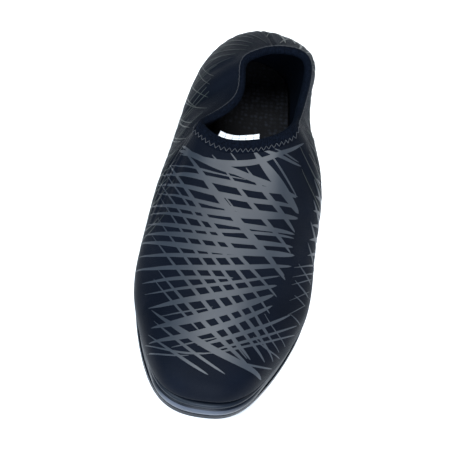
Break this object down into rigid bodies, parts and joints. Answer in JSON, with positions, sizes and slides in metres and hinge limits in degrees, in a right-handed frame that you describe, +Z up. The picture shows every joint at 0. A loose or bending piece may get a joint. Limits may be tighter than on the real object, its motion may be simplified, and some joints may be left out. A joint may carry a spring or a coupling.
{
  "type": "water shoe",
  "caption": "Left slip-on water shoe: stretch knit upper with a crossing stroke print, edge-bound collar, and a moulded rubber cup sole with toe bumper and lugged tread",
  "frame": {"origin": "Middle of the shoe's outer box, on the floor under the tread", "axes": "+Z up, the toe points along -Y and the heel along +Y, +X is the outer (wearer's left) side of the foot"},
  "size_m": [0.1054, 0.2788, 0.0705],
  "materials": {
    "tread": "matt black moulded rubber",
    "cup_sole": "satin black moulded rubber",
    "upper": "near-black navy stretch knit with a satin grey print",
    "insole": "black mesh over foam",
    "collar_binding": "matt black elastic with zigzag stitching",
    "size_label": "plain white woven tape"
  },
  "bodies": {
    "root": {"tread": "tread", "cup_sole": "cup_sole", "upper": "upper", "insole": "insole", "collar_binding": "collar_binding", "size_label": "size_label"}
  },
  "joints": []
}
